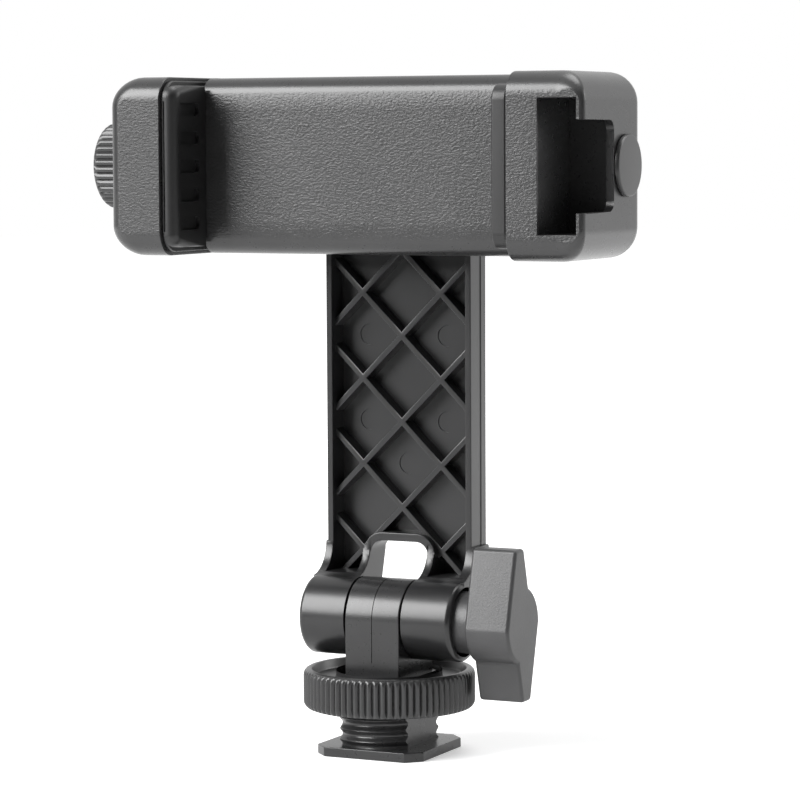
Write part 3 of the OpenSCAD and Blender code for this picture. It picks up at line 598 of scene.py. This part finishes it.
bores = [
    rod("x", -14, 14, BOLT_R, (0, 0, HINGE_Z), 48),
    rod("x", RIGHT_KNUCKLE - WASHER_T, RIGHT_KNUCKLE + 1, WASHER_R, (0, 0, HINGE_Z)),
    rod("x", -14, -HEAD_X, HEAD_R, (0, 0, HINGE_Z), 6),
    rod("y", 0, 12, SWIVEL_R, (0, 0, SWIVEL_Z), 48),
    rod("y", 0, SEAT_Y, SEAT_R, (0, 0, SWIVEL_Z)),
    rod("y", SCREW_HEAD_Y, 12, SCREW_HEAD_R, (0, 0, SWIVEL_Z)),
]
bores += [rod("y", MARK_FRONT, ARM_FLOOR + MARK_DEPTH, MARK_R,
              (across * LATTICE_STEP, 0, LATTICE_TOP - down * LATTICE_STEP), 48)
          for across, down in MARKS]
arm = combine("DIFFERENCE", arm, *bores)
piece("arm_moulding", arm, moulded("arm_plastic", ARM_BLACK, 0.3), "arm", "black_plastic", "arm")


# Tilt knob: a two-winged grip of fine-grained black plastic with a turned collar.
# It screws on the tilt bolt by a threaded insert that is moulded in.
KNOB_X = 15.5
KNOB_END = 22.9
KNOB_HUB = 6
KNOB_WING = 11.9
KNOB_TIP = 3.1
KNOB_LEAN = 3.2
COLLAR_X = 11.95
COLLAR_R = 4.8
GRIP_EDGE_R = 0.55
COLLAR_EDGE = 0.3
INSERT_R = 3.55
INSERT_END = 21.55
KNOB_BLACK = (0.039, 0.039, 0.04)

tip = KNOB_LEAN - KNOB_HUB
upper = [(-KNOB_HUB, 0), (tip, KNOB_WING), (tip + KNOB_TIP, KNOB_WING)]
upper += arc(0, 0, KNOB_HUB, 70, 6, 12)
outline = upper + [(-u, -v) for u, v in upper]
grip = slab("x", KNOB_X, KNOB_END, [(u, v + HINGE_Z) for u, v in outline])
soften(grip, GRIP_EDGE_R, 4, sharpest=24)
collar = lathe("x", (0, 0, HINGE_Z), [
    (0, COLLAR_X), (COLLAR_R - COLLAR_EDGE, COLLAR_X), (COLLAR_R, COLLAR_X + COLLAR_EDGE),
    (COLLAR_R, KNOB_X - 0.4), (COLLAR_R + 0.15, KNOB_X), (COLLAR_R, KNOB_X + 1),
    (0, KNOB_X + 1)])
knob = combine("UNION", grip, collar)
knob = combine("DIFFERENCE", knob,
               rod("x", COLLAR_X - 1, INSERT_END, INSERT_R, (0, 0, HINGE_Z), 48))
piece("tilt_knob_moulding", knob, moulded("knob_plastic", KNOB_BLACK, 0.4, 0.3, 0.03), "knob",
      "black_plastic", "tilt_knob")


# Clamp body: a hollow sleeve with the right jaw moulded on its end, in leather-grained black
# plastic. The jaw's end has a T-shaped accessory slot that opens to the front.
BODY_LEFT = -26.7
RIGHT_INNER = 29
RIGHT_END = 41.3
JAW_FRONT = -20.6
BODY_FRONT = -10.1
CLAMP_BACK = 3.4
BODY_HALF = 13.55
RIGHT_HALF = 13.85
BODY_FRONT_R = 3
CROWN_R = 14
CROWN_TURN = math.radians(11)
BODY_BACK_R = 2.8
JAW_R = 3.7
JAW_CORNER_R = 4.6
LIP_R = 0.8
BODY_WALL = 1.8
COVER_IN = 1.4
COVER_LEFT = -23.15
COVER_RIGHT = 37.45
COVER_HALF = 10.6
SCREW_Y = -4.3
SLOT_LIP = 1.25
SLOT_H = 5.95
SLOT_W = 19.7
SLOT_MOUTH = 13.4
SLOT_BACK = -8.4
RAIL_T = 2.3
RAIL_PLAY = 0.15
END_WALL = 2
COVER_SEAT = 0.25
COVER_R = 1.5
MOUTH_R = 1.6
SLOT_EDGE_R = 0.18
SHORTEST_RIM = 0.3
SCREW_HOLE_R = 2.4
SCREW_HOLE_END = 37.5
PLUG_HOLE_R = 2.95
CLAMP_BLACK = (0.024, 0.024, 0.0245)


def block(x0, x1, y0, y1, half, middle=SWIVEL_Z):
    """A square-edged bar along x. Half is half its height."""
    return slab("x", x0, x1, rounded(y0, y1, middle - half, middle + half, SQUARE))


def rails(x0, x1, gap):
    """The two guide rails of the left jaw, grown by a gap."""
    y0, y1 = BODY_FRONT + BODY_WALL + RAIL_PLAY - gap, COVER_IN - RAIL_PLAY + gap
    offset = BODY_HALF - BODY_WALL - RAIL_PLAY - RAIL_T / 2
    return [block(x0, x1, y0, y1, RAIL_T / 2 + gap, SWIVEL_Z + side * offset) for side in (-1, 1)]


def cap(inner, end, half, corner, radii, segments=10):
    """A jaw's outer form, closed by a flat inner end. Its end corners are rounded. The radii round
    its edges: front and back along the top and bottom, then front and back at the end."""
    side = math.copysign(1, end - inner)
    path = [(inner, half, 90)]
    path += [(end + side * (c - corner), half + s - corner, math.degrees(math.atan2(s, c)))
             for c, s in arc(0, 0, corner, 90, 0, segments)]
    path += [(u, -v, -turn) for u, v, turn in reversed(path)]
    solid = bmesh.new()
    strips = []
    for u, v, turn in path:
        share = math.sin(math.radians(turn)) ** 2
        front, back = [radii[k] * share + radii[k + 2] * (1 - share) for k in (0, 1)]
        out = Vector((side * math.cos(math.radians(turn)), 0, math.sin(math.radians(turn))))
        rim = [(JAW_FRONT + front * (1 - math.sin(a)), front * (1 - math.cos(a)))
               for a in [math.pi / 2 * (1 - i / segments) for i in range(segments + 1)]]
        rim += [(CLAMP_BACK - back * (1 - math.sin(a)), back * (1 - math.cos(a)))
                for a in [math.pi / 2 * i / segments for i in range(segments + 1)]]
        strips.append([solid.verts.new(Vector((u, y, v + SWIVEL_Z)) - out * inset)
                       for y, inset in rim])
    for first, second in zip(strips, strips[1:]):
        for k in range(len(first) - 1):
            solid.faces.new((first[k], first[k + 1], second[k + 1], second[k]))
    solid.faces.new([strip[0] for strip in strips])
    solid.faces.new([strip[-1] for strip in strips])
    solid.faces.new(strips[0] + strips[-1][::-1])
    bmesh.ops.recalc_face_normals(solid, faces=solid.faces)
    return solid


lean = math.sin(CROWN_TURN)
crown_rise = BODY_HALF - CROWN_R * lean - BODY_FRONT_R * (1 - lean)
crown_y = BODY_FRONT + CROWN_R - (CROWN_R - BODY_FRONT_R) * math.cos(CROWN_TURN)
crown_z = crown_rise + (CROWN_R - BODY_FRONT_R) * lean
turn = math.degrees(CROWN_TURN)
upper = arc(CLAMP_BACK - BODY_BACK_R, BODY_HALF - BODY_BACK_R, BODY_BACK_R, 0, 90)
upper += arc(crown_y, crown_z, BODY_FRONT_R, 90, 180 - turn)
upper += arc(BODY_FRONT + CROWN_R, crown_rise, CROWN_R, 180 - turn, 180, 6)[1:]
lower = [(y, -z) for y, z in reversed(upper)]
sleeve = slab("x", BODY_LEFT, RIGHT_INNER + 1, [(y, SWIVEL_Z + z) for y, z in upper + lower])

jaw = cap(RIGHT_INNER, RIGHT_END, RIGHT_HALF, JAW_CORNER_R, [JAW_R, JAW_R, LIP_R, JAW_R])
cavity = slab("x", RIGHT_END - SLOT_LIP - SLOT_H, RIGHT_END - SLOT_LIP, rounded(
    JAW_FRONT - 1, SLOT_BACK, SWIVEL_Z - SLOT_W / 2, SWIVEL_Z + SLOT_W / 2, SQUARE))
mouth = slab("x", RIGHT_END - SLOT_LIP - 0.5, RIGHT_END + 1, rounded(
    JAW_FRONT - 1, SLOT_BACK - 0.5, SWIVEL_Z - SLOT_MOUTH / 2, SWIVEL_Z + SLOT_MOUTH / 2,
    (0, MOUTH_R, MOUTH_R, 0)))
jaw = combine("DIFFERENCE", jaw, cavity, mouth)
soften(jaw, SLOT_EDGE_R, 2,
       lambda edge: edge.is_convex and edge.calc_length() > SHORTEST_RIM)
body = combine("UNION", sleeve, jaw)
body = combine("DIFFERENCE", body,
               block(BODY_LEFT + END_WALL, RIGHT_INNER + END_WALL, BODY_FRONT + BODY_WALL,
                     COVER_IN, BODY_HALF - BODY_WALL),
               *rails(BODY_LEFT - 1, BODY_LEFT + END_WALL + 1, RAIL_PLAY),
               slab("y", COVER_IN - COVER_SEAT, CLAMP_BACK + 1, rounded(
                   COVER_LEFT, COVER_RIGHT, SWIVEL_Z - COVER_HALF, SWIVEL_Z + COVER_HALF,
                   [COVER_R] * 4)),
               rod("x", BODY_LEFT - 1, SCREW_HOLE_END, SCREW_HOLE_R, (0, SCREW_Y, SWIVEL_Z), 48),
               rod("x", SCREW_HOLE_END - 0.5, RIGHT_END + 1, PLUG_HOLE_R,
                   (0, SCREW_Y, SWIVEL_Z), 48))
piece("clamp_moulding", body, moulded("clamp_plastic", CLAMP_BLACK, 0.28, leather=0.09),
      "clamp", "black_plastic", "clamp_body")


# End plug: a smooth disc pressed into the right jaw's end, on the clamp screw's axis.
PLUG_R = 4.65
PLUG_T = 0.8
PLUG_PEG = 2.6
PLUG_PEG_R = 2.9
PLUG_BLACK = (0.026, 0.026, 0.0265)

plug = lathe("x", (0, SCREW_Y, SWIVEL_Z), [
    (0, RIGHT_END - PLUG_PEG), (PLUG_PEG_R, RIGHT_END - PLUG_PEG), (PLUG_PEG_R, RIGHT_END),
    (PLUG_R - 0.15, RIGHT_END),
    (PLUG_R, RIGHT_END + 0.15), (PLUG_R, RIGHT_END + PLUG_T - 0.25),
    (PLUG_R - 0.08, RIGHT_END + PLUG_T - 0.08), (PLUG_R - 0.25, RIGHT_END + PLUG_T),
    (0, RIGHT_END + PLUG_T)])
piece("end_plug_disc", plug, moulded("plug_plastic", PLUG_BLACK, 0.32), "clamp",
      "satin_plastic", "end_plug")


# Left jaw: a hollow cap of the same grained plastic whose two rails slide inside the body.
LEFT_INNER = -28.5
LEFT_END = -37.6
LEFT_HALF = 13.65
CORE_WALL = 2.2
RAIL_END = 27.3
JAW_EDGE_R = 2.2
INNER_EDGE_R = 0.16
LIP_Y = -3.75
LIP_T = 0.8
SCREW_BORE_R = 2.05
RAIL_EDGE_R = 0.2

jaw = cap(LEFT_INNER, LEFT_END, LEFT_HALF, JAW_CORNER_R, [JAW_R, JAW_R, JAW_EDGE_R, JAW_R])
soften(jaw, INNER_EDGE_R, 2,
       lambda edge: edge.is_convex and edge.calc_length() > SHORTEST_RIM, 60)
lip = slab("x", LEFT_INNER - 1, LEFT_INNER + LIP_T, rounded(
    LIP_Y, CLAMP_BACK, SWIVEL_Z - LEFT_HALF, SWIVEL_Z + LEFT_HALF, (0, JAW_R, JAW_R, 0)))
core = block(LEFT_END + CORE_WALL, LEFT_INNER + 1, JAW_FRONT + CORE_WALL,
             CLAMP_BACK - CORE_WALL, LEFT_HALF - CORE_WALL)
jaw = combine("UNION", jaw, lip)
jaw = combine("DIFFERENCE", jaw, core,
              rod("x", LEFT_END - 1, LEFT_END + CORE_WALL + 1, SCREW_BORE_R,
                  (0, SCREW_Y, SWIVEL_Z), 48))
slides = [soften(rail, RAIL_EDGE_R) for rail in rails(LEFT_END + CORE_WALL - 0.5, RAIL_END, 0)]
jaw = combine("UNION", jaw, *slides)
piece("left_jaw_moulding", jaw, moulded("jaw_plastic", CLAMP_BLACK, 0.28, leather=0.06),
      "jaw", "black_plastic", "sliding_jaw")


# Grip pads: soft black rubber pressed on the jaws, with five blind pockets in each face.
# The left pad has a thin flange round it; the right pad is a plain strip with bevelled ends.
PAD_T = 2.4
FLANGE_T = 0.8
FLANGE_IN = 0.6
FLANGE_BACK = -3.8
FLANGE_HALF = 13.05
FLANGE_R = 3.1
FLANGE_EDGE_R = 0.18
LEFT_PAD_Y = (-20, -10.4)
LEFT_PAD_HALF = 12.35
LEFT_PAD_R = 2
LEFT_PAD_NOSE = 1.5
LEFT_PAD_EDGE_R = 0.3
LEFT_PAD_FACE = 2
NOSE_BELOW_Y = -17.9
EDGE_ABOVE_Y = -18.6
RIGHT_PAD_FRONT = -20.3
RIGHT_PAD_HALF = 12
RIGHT_PAD_EDGE_R = 0.35
POCKET_PITCH = 4.35
POCKET_L = 5.6
POCKET_HALF = 1
POCKET_R = 0.8
POCKET_DEPTH = 0.6
LEFT_POCKET_Y = -18
RIGHT_POCKET_Y = -19.7
RUBBER_BLACK = (0.0075, 0.0075, 0.0078)


def grip_pockets(x0, x1, y0):
    """The cutters of a grip pad's five pockets."""
    return [slab("x", x0, x1, rounded(y0, y0 + POCKET_L, z - POCKET_HALF, z + POCKET_HALF,
                                      (0, POCKET_R, POCKET_R, 0), 6))
            for z in [SWIVEL_Z + POCKET_PITCH * (i - 2) for i in range(5)]]


flange = soften(slab("x", LEFT_INNER, LEFT_INNER + FLANGE_T, rounded(
    JAW_FRONT + FLANGE_IN, FLANGE_BACK, SWIVEL_Z - FLANGE_HALF, SWIVEL_Z + FLANGE_HALF,
    (FLANGE_R, 0, 0, FLANGE_R))), FLANGE_EDGE_R)
raised = slab("x", LEFT_INNER + FLANGE_T / 2, LEFT_INNER + PAD_T, rounded(
    *LEFT_PAD_Y, SWIVEL_Z - LEFT_PAD_HALF, SWIVEL_Z + LEFT_PAD_HALF,
    (LEFT_PAD_R, 0, 0, LEFT_PAD_R)))
soften(raised, LEFT_PAD_NOSE, 6, lambda edge: all(
    v.co.x > LEFT_INNER + LEFT_PAD_FACE and v.co.y < NOSE_BELOW_Y for v in edge.verts))
soften(raised, LEFT_PAD_EDGE_R, 3, lambda edge: all(
    v.co.x > LEFT_INNER + LEFT_PAD_FACE and v.co.y > EDGE_ABOVE_Y for v in edge.verts))
pad = combine("UNION", flange, raised)
pad = combine("DIFFERENCE", pad,
              *grip_pockets(LEFT_INNER + PAD_T - POCKET_DEPTH, LEFT_INNER + 4, LEFT_POCKET_Y),
              *rails(LEFT_INNER - 1, LEFT_INNER + 4, 0.05),
              rod("x", LEFT_INNER - 1, LEFT_INNER + 4, SCREW_HOLE_R, (0, SCREW_Y, SWIVEL_Z), 48))
rubber = moulded("pad_rubber", RUBBER_BLACK, 0.42, 0.8)
piece("left_pad_rubber", pad, rubber, "jaw", "black_rubber", "left_pad")

pad = slab("x", RIGHT_INNER - PAD_T, RIGHT_INNER, rounded(
    RIGHT_PAD_FRONT, BODY_FRONT, SWIVEL_Z - RIGHT_PAD_HALF, SWIVEL_Z + RIGHT_PAD_HALF,
    (PAD_T, 0, 0, PAD_T)))
soften(pad, RIGHT_PAD_EDGE_R, 3)
pad = combine("DIFFERENCE", pad,
              *grip_pockets(RIGHT_INNER - 4, RIGHT_INNER - PAD_T + POCKET_DEPTH, RIGHT_POCKET_Y))
piece("right_pad_rubber", pad, rubber, "clamp", "black_rubber", "right_pad")


# Clamp screw's knob: a small ribbed disc of black plastic, pressed on the screw's end.
KNOB_OUT = -46.1
KNOB_IN = -37.9
SCREW_KNOB_R = 6.8
SCREW_KNOB_RIBS = 36
SCREW_RIB_DEPTH = 0.4
SCREW_RIB_FADES = (KNOB_OUT + 0.05, KNOB_OUT + 0.9, KNOB_IN - 0.7, KNOB_IN - 0.05)
KNOB_FACE_T = 1.45

screw_knob = lathe("x", (0, SCREW_Y, SWIVEL_Z), [
    (0, KNOB_OUT + 0.35), (4.6, KNOB_OUT + 0.35), (5, KNOB_OUT + 0.05), (6.15, KNOB_OUT),
    (6.4, KNOB_OUT + 0.08), (6.62, KNOB_OUT + 0.25), (6.75, KNOB_OUT + 0.5),
    (SCREW_KNOB_R, KNOB_OUT + 0.8), (SCREW_KNOB_R, KNOB_OUT + 1.2), (SCREW_KNOB_R, KNOB_IN - 1.2),
    (SCREW_KNOB_R, KNOB_IN - 0.6),
    (6.7, KNOB_IN - 0.25), (6.4, KNOB_IN), (0, KNOB_IN)], SCREW_KNOB_RIBS * RIB_STEPS)
rib_waves(screw_knob, "x", (0, SCREW_Y, SWIVEL_Z), SCREW_KNOB_RIBS, SCREW_RIB_DEPTH,
          SCREW_KNOB_R, SCREW_RIB_FADES)
screw_knob = combine("DIFFERENCE", screw_knob,
                     rod("x", KNOB_OUT + KNOB_FACE_T, KNOB_IN + 1, SCREW_BORE_R,
                         (0, SCREW_Y, SWIVEL_Z), 48))
piece("screw_knob_moulding", screw_knob, moulded("screw_knob_plastic", WHEEL_BLACK, 0.3), "screw",
      "satin_plastic", "clamp_screw_knob")


# Steel parts, brass insert, nylon washers and back cover: the model already has them in their
# real shape, so they only get their finish. Screws and bolts are zinc-plated, turned or pressed.
def metal(name, colour, rough, brush):
    """Turned or pressed metal: fine marks left by the tool, a little uneven in its shine."""
    material = bpy.data.materials.new(name)
    material.use_nodes = True
    tree = material.node_tree
    tree.nodes.clear()
    start = Wire(tree)
    coordinates = start.node("TexCoord", {}, {}, "Object")
    millimetres = start.node("VectorMath", {"operation": "MULTIPLY"},
                             {0: coordinates, 1: [1000 * share for share in brush]})
    marks = start.node("TexNoise", {}, {"Vector": millimetres, "Scale": 2.2, "Detail": 4})
    patches = start.node("TexNoise", {}, {"Vector": coordinates, "Scale": 350, "Detail": 2})
    bump = start.node("Bump", {}, {"Strength": 0.6, "Distance": MM, "Height": marks * 0.012})
    dark = tuple(c * 0.8 for c in colour) + (1,)
    shader = start.node("BsdfPrincipled", {}, {
        "Base Color": patches.step(0.35, 0.7).blend(dark, colour + (1,)),
        "Metallic": 1.0,
        "Roughness": marks * 0.15 + (rough - 0.07),
        "Normal": bump,
    })
    shader.show("OutputMaterial")
    return material


steel = metal("zinc_steel", (0.55, 0.56, 0.57), 0.28, (3, 3, 3))
brass = metal("turned_brass", (0.72, 0.56, 0.27), 0.3, (6, 1, 1))
nylon = moulded("washer_nylon", (0.24, 0.24, 0.245), 0.5)
cover_plastic = moulded("cover_plastic", CLAMP_BLACK, 0.32)
FINISHES = {
    "tilt_bolt": steel, "tilt_washer": steel, "swivel_screw": steel,
    "swivel_spring_washer": steel, "swivel_nut": steel, "cover_screws": steel,
    "clamp_nut": steel, "clamp_screw": steel, "screw_clip": steel,
    "tilt_knob_insert": brass, "wheel_key_washer": nylon, "swivel_friction_washer": nylon,
    "clamp_back_cover": cover_plastic,
}
for name, material in FINISHES.items():
    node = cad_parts[name]
    node.data.materials.clear()
    node.data.materials.append(material)
